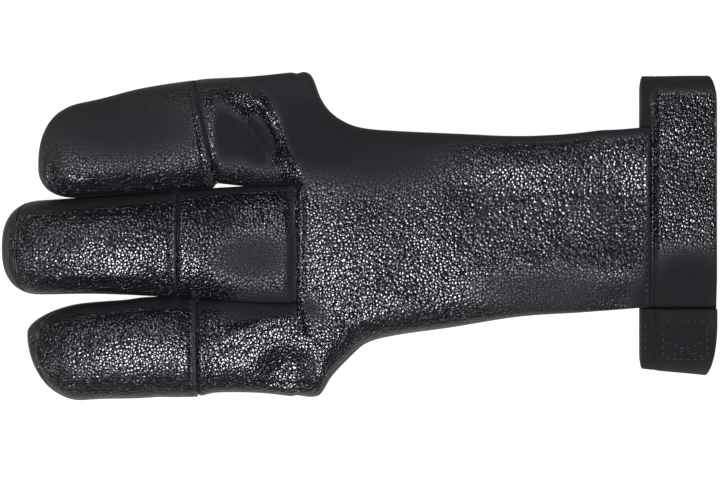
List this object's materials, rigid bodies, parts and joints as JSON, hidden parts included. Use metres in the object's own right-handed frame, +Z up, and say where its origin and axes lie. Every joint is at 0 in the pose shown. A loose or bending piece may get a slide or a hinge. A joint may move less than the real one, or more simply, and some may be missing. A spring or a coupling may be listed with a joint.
{
  "type": "archery glove",
  "caption": "Black leather archery glove lying flat: capped finger stalls, a back panel that narrows over the hand, and a closed wrist strap loop.",
  "frame": {"origin": "centre of the glove's box in plan, on the surface that it lies on", "axes": "+X from the fingertips to the wrist strap, +Y to the index finger's side, +Z up out of the back of the glove"},
  "size_m": [0.228, 0.1044, 0.0155],
  "materials": {
    "cap_leather": "pebbled black leather, satin",
    "body_leather": "pebbled black leather, satin",
    "strap_leather": "pebbled black leather, satin",
    "fastening_fabric": "matt black hook and loop tape"
  },
  "bodies": {
    "root": {"index_cap": "cap_leather", "index_pad": "cap_leather", "middle_cap": "cap_leather", "middle_pad": "cap_leather", "ring_cap": "cap_leather", "ring_pad": "cap_leather", "middle_finger_piece": "body_leather", "palm_piece": "body_leather", "back_panel": "body_leather", "wrist_strap": "strap_leather", "fastening_patch": "fastening_fabric"}
  },
  "joints": []
}
